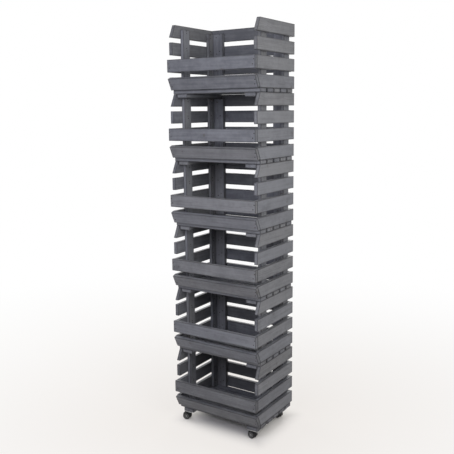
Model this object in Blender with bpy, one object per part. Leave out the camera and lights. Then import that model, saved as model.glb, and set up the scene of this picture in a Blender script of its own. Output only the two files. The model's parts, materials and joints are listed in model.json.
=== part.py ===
"""Rolling vegetable rack: six stacked slatted crates on four twin-wheel swivel casters.

Units are metres, +Z is up, the front faces -Y and the origin is on the floor at the
middle of the bounding box. Each crate is nailed together from sawn boards: two side
walls, a back, a floor on two runners and two front boards. A crate stands on the rims of
the one below, and its runners drop inside it and locate it.
"""

from math import atan2, cos, pi, radians, sin

import bmesh
import bpy
from mathutils import Matrix, Vector

MM = 0.001

# Stack
CRATE_COUNT = 6
SEAT_GAP = 0.3 * MM          # clearance left between two pieces that touch
NAILED_LAP = 1.0 * MM        # how far boards of one nailed panel are let into each other

# Crate boards
CRATE_WIDTH = 400 * MM       # over the outer faces of the side walls
WALL_DEPTH = 290 * MM        # side slats, front end to rear end
SLAT_LEVELS = 4
SLAT_WIDTH = 48.5 * MM
SLAT_SPACING = 18.3 * MM     # air between two levels
SLAT_THICKNESS = 15.5 * MM
SLANT_CUT = 23 * MM          # how far the slanted slat ends lean back
POST_WIDTH = 42 * MM
POST_THICKNESS = 15.5 * MM
FRONT_POST_SETBACK = 54 * MM
UPRIGHT_WIDTH = 48.5 * MM
UPRIGHT_THICKNESS = 15.5 * MM

# Floor and runners
FLOOR_SLAT_WIDTH = 42 * MM
FLOOR_SLAT_SPACING = 10 * MM  # least air between two floor slats
FLOOR_THICKNESS = 15.5 * MM
FLOOR_FRONT_INSET = 21.5 * MM
RUNNER_WIDTH = 48.5 * MM
RUNNER_THICKNESS = 15.5 * MM
RUNNER_SIDE_PLAY = 2.5 * MM  # between a runner and the side wall that it drops into

# Casters
CASTER_TRAIL = 14.5 * MM     # swivel axis to wheel axle
WHEEL_RADIUS = 16 * MM
WHEEL_WIDTH = 8.5 * MM
WHEEL_SIDES = 24
TREAD_CHAMFER = 1.4 * MM
WHEEL_RIM_WALL = 4.5 * MM
WHEEL_DISH_DEPTH = 1.8 * MM
WHEEL_HUB_RADIUS = 4.2 * MM
AXLE_RADIUS = 2.0 * MM
AXLE_END_INSET = 0.8 * MM
AXLE_SIDES = 16
NECK_RADIUS = 5.0 * MM
WEB_THICKNESS = 9.0 * MM
WEB_BELOW_AXLE = 5.5 * MM
WHEEL_SIDE_GAP = 0.6 * MM
HOOD_RIM_GAP = 1.0 * MM      # between the wheels' tread and the rim that arches over them
HOOD_RIM_THICKNESS = 1.6 * MM
HOOD_RIM_WIDTH = 12 * MM
HOOD_FRONT_ANGLE = radians(8)
HOOD_REAR_ANGLE = radians(180)
WEB_REAR_ANGLE = radians(215)
HOOD_STEPS = 12
NECK_BELOW_AXLE = 4.0 * MM
SWIVEL_HEAD_RADIUS = 9 * MM
SWIVEL_HEAD_REACH = 1.0 * MM  # above the hood's rim
KINGPIN_RADIUS = 2.6 * MM
KINGPIN_DEPTH = 14 * MM      # below the collar, inside the neck
PIN_SIDES = 16
COLLAR_RADIUS = 10.5 * MM
COLLAR_HEIGHT = 4.0 * MM
COLLAR_GAP = 0.5 * MM        # between the collar and the hood that turns under it
COLLAR_SIDES = 24
PLATE_SIDE = 40 * MM
PLATE_THICKNESS = 2.0 * MM
PLATE_CORNER_RADIUS = 4 * MM
PLATE_CORNER_STEPS = 4
SCREW_HOLE_RADIUS = 2.1 * MM
SCREW_HOLE_INSET = 5.5 * MM  # from the plate's edges to the hole's centre
SCREW_HOLE_SIDES = 12
PLATE_OVERHANG = 2 * MM      # past the runner's outer edge
CUT_OVERRUN = 1.0 * MM

# Where each wheel pair points from its swivel axis, seen from above, from +X
CASTER_HEADINGS = {
    "front_left": radians(192.5),
    "front_right": radians(175),
    "rear_left": radians(205),
    "rear_right": radians(167),
}

# Places worked out from the sizes above
overall_depth = WALL_DEPTH + SLAT_THICKNESS
wall_front = -overall_depth / 2 + SLAT_THICKNESS
wall_rear = overall_depth / 2
half_width = CRATE_WIDTH / 2
wall_inner = half_width - SLAT_THICKNESS
post_inner = wall_inner - POST_THICKNESS
back_front = wall_rear - SLAT_THICKNESS
wall_height = SLAT_LEVELS * SLAT_WIDTH + (SLAT_LEVELS - 1) * SLAT_SPACING
lower_board_level = SLAT_LEVELS - 1  # levels are counted from the rim down, starting at zero
upper_board_level = lower_board_level - 1
floor_front = wall_front + FLOOR_FRONT_INSET
floor_rear = back_front
floor_depth = floor_rear - floor_front
floor_slat_count = int((floor_depth + FLOOR_SLAT_SPACING) / (FLOOR_SLAT_WIDTH + FLOOR_SLAT_SPACING))
floor_slat_air = (floor_depth - floor_slat_count * FLOOR_SLAT_WIDTH) / (floor_slat_count - 1)
runner_outer = wall_inner - RUNNER_SIDE_PLAY
# Heights in a crate are measured from the underside of its floor slats
wall_foot = FLOOR_THICKNESS + SEAT_GAP
rim = wall_foot + wall_height
crate_pitch = rim + SEAT_GAP
post_top = rim - RUNNER_THICKNESS

wheel_inner_face = NECK_RADIUS + WHEEL_SIDE_GAP
wheel_outer_face = wheel_inner_face + WHEEL_WIDTH
rim_inner_radius = WHEEL_RADIUS + HOOD_RIM_GAP
rim_outer_radius = rim_inner_radius + HOOD_RIM_THICKNESS
head_top = rim_outer_radius + SWIVEL_HEAD_REACH  # above the axle
collar_foot = WHEEL_RADIUS + head_top + COLLAR_GAP
plate_foot = collar_foot + COLLAR_HEIGHT
plate_top = plate_foot + PLATE_THICKNESS
stack_base = plate_top + SEAT_GAP + RUNNER_THICKNESS
swivel_side = runner_outer + PLATE_OVERHANG - PLATE_SIDE / 2
swivel_front = floor_front + PLATE_SIDE / 2
swivel_rear = floor_rear - PLATE_SIDE / 2


def level_top(level):
    """Height of a level's upper edge, counted from the rim down."""
    return rim - level * (SLAT_WIDTH + SLAT_SPACING)


def clear_scene():
    for old in list(bpy.data.objects):
        bpy.data.objects.remove(old, do_unlink=True)


def material(name, colour, roughness, metallic):
    made = bpy.data.materials.new(name)
    made.use_nodes = True
    shader = made.node_tree.nodes["Principled BSDF"]
    shader.inputs["Base Color"].default_value = (*colour, 1.0)
    shader.inputs["Roughness"].default_value = roughness
    shader.inputs["Metallic"].default_value = metallic
    return made


def add_prism(bm, outline, start, end, orient):
    """Closed prism over a convex outline, from start to end along the third axis."""
    low = [bm.verts.new(orient(u, v, start)) for u, v in outline]
    high = [bm.verts.new(orient(u, v, end)) for u, v in outline]
    bm.faces.new(low[::-1])
    bm.faces.new(high)
    for i in range(len(outline)):
        j = (i + 1) % len(outline)
        bm.faces.new((low[i], low[j], high[j], high[i]))


def along_x(u, v, w):
    return (w, u, v)


def along_y(u, v, w):
    return (u, w, v)


def along_z(u, v, w):
    return (u, v, w)


def box_outline(u0, u1, v0, v1):
    return [(u0, v0), (u1, v0), (u1, v1), (u0, v1)]


def circle_outline(radius, sides, u=0.0, v=0.0):
    steps = [2 * pi * i / sides for i in range(sides)]
    return [(u + radius * cos(a), v + radius * sin(a)) for a in steps]


def mesh_of(name, fill, smooth=False):
    """A mesh made by a function that fills an empty bmesh with closed shapes."""
    bm = bmesh.new()
    fill(bm)
    bmesh.ops.recalc_face_normals(bm, faces=bm.faces)
    made = bpy.data.meshes.new(name)
    bm.to_mesh(made)
    bm.free()
    if smooth:
        made.shade_smooth()
        made.set_sharp_from_angle(angle=radians(35))
    return made


def combined(name, base, changes, smooth=False):
    """One mesh from a base mesh and a list of (operation, mesh) Boolean steps."""
    carrier = bpy.data.objects.new(name + "_carrier", base)
    bpy.context.scene.collection.objects.link(carrier)
    tools = []
    for number, (operation, mesh) in enumerate(changes):
        tool = bpy.data.objects.new(f"{name}_tool_{number}", mesh)
        bpy.context.scene.collection.objects.link(tool)
        tool.hide_render = True
        tool.display_type = "WIRE"
        step = carrier.modifiers.new(operation.title(), "BOOLEAN")
        step.operation = operation
        step.solver = "EXACT"
        step.object = tool
        tools.append(tool)
    evaluated = carrier.evaluated_get(bpy.context.evaluated_depsgraph_get())
    made = bpy.data.meshes.new_from_object(evaluated)
    made.name = name
    for helper in (carrier, *tools):
        bpy.data.objects.remove(helper, do_unlink=True)
    if smooth:
        made.shade_smooth()
        made.set_sharp_from_angle(angle=radians(35))
    return made


def side_slat_outline(level):
    """A side slat in Y and Z: top and bottom slats have a slanted front end."""
    top = level_top(level)
    foot = top - SLAT_WIDTH
    top_front = wall_front + (SLANT_CUT if level == 0 else 0.0)
    foot_front = wall_front + (SLANT_CUT if level == SLAT_LEVELS - 1 else 0.0)
    return [(foot_front, foot), (wall_rear, foot), (wall_rear, top), (top_front, top)]


def side_mesh(name, side):
    """Four slats and two posts; side is -1 for the left wall and 1 for the right."""
    lap = NAILED_LAP

    def slats(bm):
        for level in range(SLAT_LEVELS):
            outline = side_slat_outline(level)
            add_prism(bm, outline, side * wall_inner, side * half_width, along_x)

    def posts(bm):
        front = wall_front + FRONT_POST_SETBACK
        rear = back_front - SEAT_GAP - POST_WIDTH
        for start in (front, rear):
            outline = box_outline(start, start + POST_WIDTH, wall_foot, post_top)
            add_prism(bm, outline, side * post_inner, side * (wall_inner + lap), along_x)

    steps = [("UNION", mesh_of(name + "_posts", posts))]
    return combined(name, mesh_of(name + "_slats", slats), steps)


def back_mesh():
    """Four slats between the side walls, with an upright inside each end."""

    def slats(bm):
        reach = wall_inner - SEAT_GAP
        for level in range(SLAT_LEVELS):
            top = level_top(level)
            outline = box_outline(-reach, reach, top - SLAT_WIDTH, top)
            add_prism(bm, outline, back_front, wall_rear, along_y)

    def uprights(bm):
        outer = post_inner - SEAT_GAP
        front = back_front - UPRIGHT_THICKNESS
        for side in (-1, 1):
            ends = sorted((side * outer, side * (outer - UPRIGHT_WIDTH)))
            outline = box_outline(*ends, wall_foot, post_top)
            add_prism(bm, outline, front, back_front + NAILED_LAP, along_y)

    steps = [("UNION", mesh_of("uprights", uprights))]
    return combined("back_panel", mesh_of("back_slats", slats), steps)


def floor_mesh():
    """Slats laid across two runners, which hang below and locate the crate."""

    def slats(bm):
        for number in range(floor_slat_count):
            start = floor_front + number * (FLOOR_SLAT_WIDTH + floor_slat_air)
            outline = box_outline(start, start + FLOOR_SLAT_WIDTH, 0.0, FLOOR_THICKNESS)
            add_prism(bm, outline, -half_width, half_width, along_x)

    def runners(bm):
        for side in (-1, 1):
            ends = sorted((side * runner_outer, side * (runner_outer - RUNNER_WIDTH)))
            outline = box_outline(*ends, -RUNNER_THICKNESS, NAILED_LAP)
            add_prism(bm, outline, floor_front, floor_rear, along_y)

    steps = [("UNION", mesh_of("runners", runners))]
    return combined("floor_panel", mesh_of("floor_slats", slats), steps)


def upper_front_mesh():
    """Plain board across the front ends of the slats, one level above the lowest."""

    def board(bm):
        top = level_top(upper_board_level)
        outline = box_outline(-half_width, half_width, top - SLAT_WIDTH, top)
        add_prism(bm, outline, wall_front - SLAT_THICKNESS, wall_front - SEAT_GAP, along_y)

    return mesh_of("front_board_upper", board)


def lower_front_mesh():
    """Board laid on the slanted ends of the bottom slats, its top edge level with them."""
    lean = atan2(SLANT_CUT, SLAT_WIDTH)

    def board(bm):
        outline = box_outline(-SLAT_THICKNESS, -SEAT_GAP, -SLAT_WIDTH, 0.0)
        top = level_top(lower_board_level)
        leaning = []
        for u, v in outline:
            y = wall_front + u * cos(lean) - v * sin(lean)
            z = top + u * sin(lean) + v * cos(lean)
            leaning.append((y, z))
        add_prism(bm, leaning, -half_width, half_width, along_x)

    return mesh_of("front_board_lower", board)


def plate_mesh():
    """Screw plate with rounded corners, four screw holes and the swivel's collar below."""
    half = PLATE_SIDE / 2
    centre = half - PLATE_CORNER_RADIUS
    hole = half - SCREW_HOLE_INSET
    low = collar_foot - CUT_OVERRUN
    high = plate_top + CUT_OVERRUN

    def plate(bm):
        outline = []
        for corner in range(4):
            turn = corner * pi / 2
            middle = Matrix.Rotation(turn, 2) @ Vector((centre, centre))
            for u, v in arc(PLATE_CORNER_RADIUS, turn, turn + pi / 2, PLATE_CORNER_STEPS):
                outline.append((middle.x + u, middle.y + v))
        add_prism(bm, outline, plate_foot, plate_top, along_z)

    def collar(bm):
        outline = circle_outline(COLLAR_RADIUS, COLLAR_SIDES)
        add_prism(bm, outline, collar_foot, plate_foot + NAILED_LAP, along_z)

    def holes(bm):
        outlines = [circle_outline(KINGPIN_RADIUS + SEAT_GAP, PIN_SIDES)]
        for u in (-hole, hole):
            for v in (-hole, hole):
                outlines.append(circle_outline(SCREW_HOLE_RADIUS, SCREW_HOLE_SIDES, u, v))
        for outline in outlines:
            add_prism(bm, outline, low, high, along_z)

    steps = [("UNION", mesh_of("collar", collar)), ("DIFFERENCE", mesh_of("plate_holes", holes))]
    return combined("plate", mesh_of("plate_blank", plate), steps, smooth=True)


def kingpin_mesh():
    def pin(bm):
        foot = collar_foot - KINGPIN_DEPTH
        add_prism(bm, circle_outline(KINGPIN_RADIUS, PIN_SIDES), foot, plate_top - SEAT_GAP, along_z)

    return mesh_of("kingpin", pin, smooth=True)


def arc(radius, start, end, steps):
    turns = [start + (end - start) * i / steps for i in range(steps + 1)]
    return [(radius * cos(a), radius * sin(a)) for a in turns]


def add_band(bm, inner, outer, start, end, orient):
    """Closed solid between two arcs of equally many points."""
    low_in = [bm.verts.new(orient(u, v, start)) for u, v in inner]
    low_out = [bm.verts.new(orient(u, v, start)) for u, v in outer]
    high_in = [bm.verts.new(orient(u, v, end)) for u, v in inner]
    high_out = [bm.verts.new(orient(u, v, end)) for u, v in outer]
    for i in range(len(inner) - 1):
        bm.faces.new((low_in[i], low_in[i + 1], low_out[i + 1], low_out[i]))
        bm.faces.new((high_in[i], high_out[i], high_out[i + 1], high_in[i + 1]))
        bm.faces.new((low_in[i], high_in[i], high_in[i + 1], low_in[i + 1]))
        bm.faces.new((low_out[i], low_out[i + 1], high_out[i + 1], high_out[i]))
    for i in (0, -1):
        bm.faces.new((low_in[i], low_out[i], high_out[i], high_in[i]))


def hood_mesh():
    """Web between the wheels, the rim that arches over them and the head round the kingpin.

    Its own frame has the axle along Y through the origin and the swivel axis at -X.
    """
    swivel = -CASTER_TRAIL

    def rim_arch(bm):
        inner = arc(rim_inner_radius, HOOD_FRONT_ANGLE, HOOD_REAR_ANGLE, HOOD_STEPS)
        outer = arc(rim_outer_radius, HOOD_FRONT_ANGLE, HOOD_REAR_ANGLE, HOOD_STEPS)
        add_band(bm, inner, outer, -HOOD_RIM_WIDTH / 2, HOOD_RIM_WIDTH / 2, along_y)

    def web(bm):
        radius = rim_inner_radius + HOOD_RIM_THICKNESS / 2
        outline = arc(radius, HOOD_FRONT_ANGLE, WEB_REAR_ANGLE, HOOD_STEPS)
        outline.append((0.0, -WEB_BELOW_AXLE))
        add_prism(bm, outline, -WEB_THICKNESS / 2, WEB_THICKNESS / 2, along_y)

    def neck(bm):
        outline = circle_outline(NECK_RADIUS, PIN_SIDES, swivel)
        add_prism(bm, outline, -NECK_BELOW_AXLE, head_top, along_z)

    def head(bm):
        outline = circle_outline(SWIVEL_HEAD_RADIUS, COLLAR_SIDES, swivel)
        add_prism(bm, outline, rim_inner_radius, head_top, along_z)

    def bores(bm):
        bore = circle_outline(KINGPIN_RADIUS + SEAT_GAP, PIN_SIDES, swivel)
        bore_foot = head_top + COLLAR_GAP - KINGPIN_DEPTH - CUT_OVERRUN
        add_prism(bm, bore, bore_foot, head_top + CUT_OVERRUN, along_z)
        axle = circle_outline(AXLE_RADIUS + SEAT_GAP, AXLE_SIDES)
        add_prism(bm, axle, -wheel_inner_face, wheel_inner_face, along_y)

    steps = [
        ("UNION", mesh_of("web", web)),
        ("UNION", mesh_of("neck", neck)),
        ("UNION", mesh_of("swivel_head", head)),
        ("DIFFERENCE", mesh_of("hood_bores", bores)),
    ]
    return combined("hood", mesh_of("rim_arch", rim_arch), steps, smooth=True)


def wheel_mesh():
    """One wheel of the pair, turned about Y, from its inner face outwards.

    Its flat sides touch the wheel's circle, and it stands on one of them.
    """
    bore = AXLE_RADIUS + SEAT_GAP
    half_side = pi / WHEEL_SIDES
    spread = 1 / cos(half_side)
    wall_radius = WHEEL_RADIUS - WHEEL_RIM_WALL
    dish = wheel_outer_face - WHEEL_DISH_DEPTH
    profile = [
        (wheel_inner_face, bore),
        (wheel_inner_face, WHEEL_RADIUS - TREAD_CHAMFER),
        (wheel_inner_face + TREAD_CHAMFER, WHEEL_RADIUS),
        (wheel_outer_face - TREAD_CHAMFER, WHEEL_RADIUS),
        (wheel_outer_face, WHEEL_RADIUS - TREAD_CHAMFER),
        (wheel_outer_face, wall_radius),
        (dish, wall_radius - WHEEL_DISH_DEPTH),
        (dish, WHEEL_HUB_RADIUS),
        (wheel_outer_face, WHEEL_HUB_RADIUS),
        (wheel_outer_face, bore),
    ]

    def turned(bm):
        rings = []
        for i in range(WHEEL_SIDES):
            a = (2 * i + 1) * half_side - pi / 2
            ring = []
            for y, r in profile:
                ring.append(bm.verts.new((r * spread * cos(a), y, r * spread * sin(a))))
            rings.append(ring)
        for i, ring in enumerate(rings):
            beside = rings[(i + 1) % WHEEL_SIDES]
            for j in range(len(profile)):
                k = (j + 1) % len(profile)
                bm.faces.new((ring[j], ring[k], beside[k], beside[j]))

    return mesh_of("wheel", turned, smooth=True)


def axle_mesh():
    def rod(bm):
        end = wheel_outer_face - AXLE_END_INSET
        add_prism(bm, circle_outline(AXLE_RADIUS, AXLE_SIDES), -end, end, along_y)

    return mesh_of("axle", rod, smooth=True)


def place(name, mesh, parent, finish, location=(0, 0, 0), turn=0.0):
    made = bpy.data.objects.new(name, mesh)
    made.location = location
    made.rotation_euler = (0.0, 0.0, turn)
    made.parent = parent
    if not mesh.materials:
        mesh.materials.append(finish)
    bpy.context.scene.collection.objects.link(made)
    return made


def guide(name, parent=None, location=(0, 0, 0), turn=0.0):
    """Empty that carries the pieces of one moving body."""
    made = bpy.data.objects.new(name, None)
    made.location = location
    made.rotation_euler = (0.0, 0.0, turn)
    made.parent = parent
    bpy.context.scene.collection.objects.link(made)
    return made


def build_crates(timber):
    panels = {
        "left_side": side_mesh("left_side", -1),
        "right_side": side_mesh("right_side", 1),
        "back_panel": back_mesh(),
        "floor_panel": floor_mesh(),
        "front_board_upper": upper_front_mesh(),
        "front_board_lower": lower_front_mesh(),
    }
    below = None
    for tier in range(1, CRATE_COUNT + 1):
        height = stack_base if below is None else crate_pitch
        below = guide(f"crate_{tier}", below, (0.0, 0.0, height))
        for part, mesh in panels.items():
            place(f"tier_{tier}_{part}", mesh, below, timber)


def build_casters(plastic, zinc, steel):
    plate, kingpin, hood = plate_mesh(), kingpin_mesh(), hood_mesh()
    axle, wheel = axle_mesh(), wheel_mesh()
    for corner, heading in CASTER_HEADINGS.items():
        side = -1 if corner.endswith("left") else 1
        depth = swivel_front if corner.startswith("front") else swivel_rear
        spot = (side * swivel_side, depth, 0.0)
        name = f"caster_{corner}"
        place(f"{name}_plate", plate, None, zinc, spot)
        place(f"{name}_kingpin", kingpin, None, steel, spot)
        swivel = guide(f"{name}_swivel", None, spot, heading)
        spin = guide(f"{name}_spin", swivel, (CASTER_TRAIL, 0.0, WHEEL_RADIUS))
        place(f"{name}_hood", hood, swivel, plastic, (CASTER_TRAIL, 0.0, WHEEL_RADIUS))
        place(f"{name}_axle", axle, spin, steel)
        place(f"{name}_wheel_1", wheel, spin, plastic)
        place(f"{name}_wheel_2", wheel, spin, plastic, turn=pi)


def main():
    clear_scene()
    timber = material("stained_timber", (0.12, 0.123, 0.138), 0.55, 0.0)
    plastic = material("black_plastic", (0.02, 0.02, 0.021), 0.4, 0.0)
    zinc = material("zinc_plate", (0.55, 0.56, 0.58), 0.35, 1.0)
    steel = material("steel_pin", (0.5, 0.5, 0.52), 0.3, 1.0)
    build_crates(timber)
    build_casters(plastic, zinc, steel)


main()
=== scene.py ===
import json
import math

import bmesh
import bpy
from mathutils import Matrix, Vector


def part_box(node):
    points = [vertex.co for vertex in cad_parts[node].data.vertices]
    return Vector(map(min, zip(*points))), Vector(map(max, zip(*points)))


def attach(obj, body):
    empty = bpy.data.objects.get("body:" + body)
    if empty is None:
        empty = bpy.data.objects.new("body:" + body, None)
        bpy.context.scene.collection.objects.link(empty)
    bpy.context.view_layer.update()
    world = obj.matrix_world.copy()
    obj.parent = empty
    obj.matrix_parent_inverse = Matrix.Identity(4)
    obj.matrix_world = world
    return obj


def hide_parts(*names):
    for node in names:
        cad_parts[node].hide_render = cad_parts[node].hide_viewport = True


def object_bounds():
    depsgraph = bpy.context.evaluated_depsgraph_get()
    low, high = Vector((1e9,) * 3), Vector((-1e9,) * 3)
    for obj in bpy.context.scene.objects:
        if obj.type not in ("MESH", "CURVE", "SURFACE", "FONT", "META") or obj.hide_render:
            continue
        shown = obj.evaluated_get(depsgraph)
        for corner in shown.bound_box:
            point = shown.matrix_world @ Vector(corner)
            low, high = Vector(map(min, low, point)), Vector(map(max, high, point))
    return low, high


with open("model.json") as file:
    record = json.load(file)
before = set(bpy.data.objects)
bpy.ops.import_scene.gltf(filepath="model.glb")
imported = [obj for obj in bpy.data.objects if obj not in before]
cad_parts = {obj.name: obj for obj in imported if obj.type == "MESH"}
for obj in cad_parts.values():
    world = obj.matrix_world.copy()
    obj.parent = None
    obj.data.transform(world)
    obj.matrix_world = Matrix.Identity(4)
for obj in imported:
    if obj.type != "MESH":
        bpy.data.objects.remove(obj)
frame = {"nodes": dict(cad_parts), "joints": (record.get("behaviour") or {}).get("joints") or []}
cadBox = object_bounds()
scene = bpy.context.scene
crateCount = 6
crateBodies = ["bottom_crate"] + [f"crate_{number}" for number in range(2, crateCount + 1)]
corners = ["front_left", "front_right", "rear_left", "rear_right"]
print("rack frame loaded,", len(frame["nodes"]), "solids")


# puts a new object in the scene
def added(name, data):
    made = bpy.data.objects.new(name, data)
    scene.collection.objects.link(made)
    return made


# the mesh that an object's modifiers make
def resultOf(made):
    return bpy.data.meshes.new_from_object(made.evaluated_get(bpy.context.evaluated_depsgraph_get()))


# turns local X, Y and Z to these directions
def turnedTo(x, y, z):
    return Matrix((x, y, z)).transposed().to_4x4()


# a socket that can be used in sums, so that shader and geometry maths read as plain expressions
class Wire:
    def __init__(self, tree, socket=None):
        self.tree = tree
        self.socket = socket

    # any node: its type, its settings, the values or links of its sockets, and the output wanted
    def node(self, kind, settings={}, sockets={}, out=0):
        made = self.tree.nodes.new(kind)
        for name, value in settings.items():
            setattr(made, name, value)
        for key, value in sockets.items():
            if isinstance(value, Wire):
                self.tree.links.new(value.socket, made.inputs[key])
            else:
                made.inputs[key].default_value = value
        return Wire(self.tree, made.outputs[out] if len(made.outputs) else None)

    def also(self, out):
        return Wire(self.tree, self.socket.node.outputs[out])

    def parts(self):
        split = self.node("ShaderNodeSeparateXYZ", {}, {0: self})
        return split, split.also(1), split.also(2)

    def number(self, operation, *values):
        return self.node("ShaderNodeMath", {"operation": operation}, dict(enumerate(values)))

    def vector(self, operation, *values):
        return self.node("ShaderNodeVectorMath", {"operation": operation}, dict(enumerate(values)))

    def scaled(self, by):
        return self.node("ShaderNodeVectorMath", {"operation": "SCALE"}, {0: self, 3: by})

    def ramp(self, low, high):
        settings = {"interpolation_type": "SMOOTHSTEP"}
        return self.node("ShaderNodeMapRange", settings, {"Value": self, "From Min": low, "From Max": high})

    def tint(self, factor, colourA, colourB, how="MIX"):
        settings = {"data_type": "RGBA", "blend_type": how}
        return self.node("ShaderNodeMix", settings, {0: factor, 6: colourA, 7: colourB}, 2)

    def noise(self, place, scale, detail=2.0, roughness=0.5):
        sockets = {"Vector": place, "Scale": scale, "Detail": detail, "Roughness": roughness}
        return self.node("ShaderNodeTexNoise", {"noise_dimensions": "3D"}, sockets)

    def bump(self, strength, depth):
        return self.node("ShaderNodeBump", {}, {"Strength": strength, "Distance": depth, "Height": self})

    # a geometry node that works on this geometry
    def done(self, kind, sockets={}):
        return self.node("GeometryNode" + kind, {}, {"Geometry": self, **sockets})

    def __add__(self, other):
        return self.number("ADD", self, other)

    __radd__ = __add__

    def __sub__(self, other):
        return self.number("SUBTRACT", self, other)

    def __rsub__(self, other):
        return self.number("SUBTRACT", other, self)

    def __mul__(self, other):
        return self.number("MULTIPLY", self, other)

    def __truediv__(self, other):
        return self.number("DIVIDE", self, other)

    def __pow__(self, other):
        return self.number("POWER", self, other)


def newMaterial(name, gloss):
    made = bpy.data.materials.new(name)
    made.use_nodes = True
    shader = made.node_tree.nodes["Principled BSDF"]
    shader.inputs["Specular IOR Level"].default_value = gloss
    return made, shader, Wire(made.node_tree)


def feed(shader, name, wire):
    wire.tree.links.new(wire.socket, shader.inputs[name])


# adds up layers by their weights
def mixed(layers, weights, start=0.0):
    for name, weight in weights.items():
        start = start + layers[name] * weight
    return start


# camera: fitted to the board edges of the photograph
view = {
    "place": (1.43326, -2.22261, 1.31768),
    "turn": 33.3175,   # degrees to the left of +Y
    "tilt": -10.1076,
    "roll": -0.605,
    "lens": 51.882,
    "sensor": 36.0,
    "nearest": 0.05,
    "furthest": 60.0,
}


def addCamera(v):
    turn, tilt, roll = (math.radians(v[name]) for name in ("turn", "tilt", "roll"))
    ahead = Vector((-math.sin(turn) * math.cos(tilt), math.cos(turn) * math.cos(tilt), math.sin(tilt)))
    level = Vector((math.cos(turn), math.sin(turn), 0.0))
    upright = level.cross(ahead)
    right = level * math.cos(roll) + upright * math.sin(roll)
    up = upright * math.cos(roll) - level * math.sin(roll)
    data = bpy.data.cameras.new("camera")
    data.lens = v["lens"]
    data.sensor_width = v["sensor"]
    data.clip_start = v["nearest"]
    data.clip_end = v["furthest"]
    scene.camera = added("camera", data)
    scene.camera.matrix_world = Matrix.Translation(v["place"]) @ turnedTo(right, up, -ahead)


addCamera(view)
scene.view_settings.view_transform = "Standard"

# studio: a pale floor that fades into a white room, and soft panels of light
studio = {
    "white": (1.0, 1.0, 1.0, 1.0),
    "floorColour": (0.80, 0.775, 0.75, 1.0),
    "floorGlow": (0.912, 0.880, 0.850, 1.0),
    "floorRoughness": 0.85,
    "floorSize": 14.0,
    "floorCells": 8,
    "shadowReach": (-0.07, 0.055),      # metres from the rack's outline, over which its shadow fades
    "shadowShift": (0.0, -0.020, 0.0),  # the shadow moves the other way
    "shadowLeft": 0.17,                 # share of the shadow that stays further out
    "whiteReach": (0.1, 2.6),           # metres from the rack's outline, over which the floor turns white
    "whiteCurve": 0.5,
    "roomLight": 0.13,
    "panels": {
        # name: (place, aimed at, size, watts, colour), the last two fitted to the photograph
        "front": ((0.1, -2.1, 1.75), (0.0, 0.0, 1.2), 1.1, 24.8, (0.87, 0.885, 1.0)),
        "rightSide": ((1.7, -0.8, 1.6), (0.0, 0.0, 1.2), 1.1, 27.0, (1.0, 1.0, 0.98)),
        "top": ((0.4, -0.4, 3.2), (0.0, 0.0, 1.2), 1.4, 9.0, (1.0, 1.0, 1.0)),
        "leftSide": ((-2.1, 0.4, 1.5), (0.0, 0.0, 1.1), 1.1, 22.0, (1.0, 1.0, 1.0)),
        "rear": ((-0.9, 2.5, 1.7), (0.0, 0.0, 1.0), 1.5, 24.0, (1.0, 1.0, 1.0)),
    },
}


# 1 for what the camera and mirror-like or clear surfaces see, 0 where light falls on the rack
def seenDirectly(w):
    path = w.node("ShaderNodeLightPath", {}, {}, "Is Camera Ray")
    mirrored = path.number("MAXIMUM", path.also("Is Glossy Ray"), path.also("Is Transmission Ray"))
    return path.number("MAXIMUM", path, mirrored)


def addStudio(s):
    room = bpy.data.worlds.new("room")
    scene.world = room
    room.use_nodes = True
    w = Wire(room.node_tree)
    plain = w.node("ShaderNodeBackground", {}, {"Color": s["white"], "Strength": s["roomLight"]})
    white = w.node("ShaderNodeBackground", {}, {"Color": s["white"], "Strength": 1.0})
    blend = w.node("ShaderNodeMixShader", {}, {0: seenDirectly(w), 1: plain, 2: white})
    room.node_tree.links.new(blend.socket, room.node_tree.nodes["World Output"].inputs["Surface"])

    bm = bmesh.new()
    bmesh.ops.create_grid(bm, x_segments=s["floorCells"], y_segments=s["floorCells"], size=s["floorSize"] / 2)
    mesh = bpy.data.meshes.new("floor")
    bm.to_mesh(mesh)
    bm.free()
    floor = added("floor", mesh)
    finish, shader, w = newMaterial("paleFloor", 0.0)
    shader.inputs["Base Color"].default_value = s["floorColour"]
    shader.inputs["Roughness"].default_value = s["floorRoughness"]
    place = w.node("ShaderNodeTexCoord", {}, {}, "Object")
    place = place.vector("ADD", place, s["shadowShift"])
    beyond = place.vector("SUBTRACT", place.vector("ABSOLUTE", place), (cadBox[1].x, cadBox[1].y, 0.0))
    outX, outY = beyond.parts()[:2]
    inside = outX.number("MINIMUM", outX.number("MAXIMUM", outX, outY), 0.0)
    outX = outX.number("MAXIMUM", outX, 0.0)
    outY = outY.number("MAXIMUM", outY, 0.0)
    away = (outX * outX + outY * outY) ** 0.5 + inside
    direct = seenDirectly(w)
    clear = away.ramp(*s["shadowReach"]) * (1.0 - s["shadowLeft"]) * direct
    lit = Wire(finish.node_tree, shader.outputs[0])
    glow = w.node("ShaderNodeEmission", {}, {"Color": s["floorGlow"], "Strength": 1.0})
    near = w.node("ShaderNodeMixShader", {}, {0: clear, 1: lit, 2: glow})
    far = away.ramp(*s["whiteReach"]) ** s["whiteCurve"] * direct
    white = w.node("ShaderNodeEmission", {}, {"Color": s["white"], "Strength": 1.0})
    blend = w.node("ShaderNodeMixShader", {}, {0: far, 1: near, 2: white})
    finish.node_tree.links.new(blend.socket, finish.node_tree.nodes["Material Output"].inputs["Surface"])
    mesh.materials.append(finish)

    for name, (place, aim, size, watts, colour) in s["panels"].items():
        data = bpy.data.lights.new(name, "AREA")
        data.shape = "SQUARE"
        data.size = size
        data.energy = watts
        data.color = colour
        panel = added(name, data)
        panel.location = place
        panel.rotation_euler = (Vector(aim) - Vector(place)).to_track_quat("-Z", "Y").to_euler()
        panel.visible_camera = False


addStudio(studio)
print("camera and studio ready")

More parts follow.
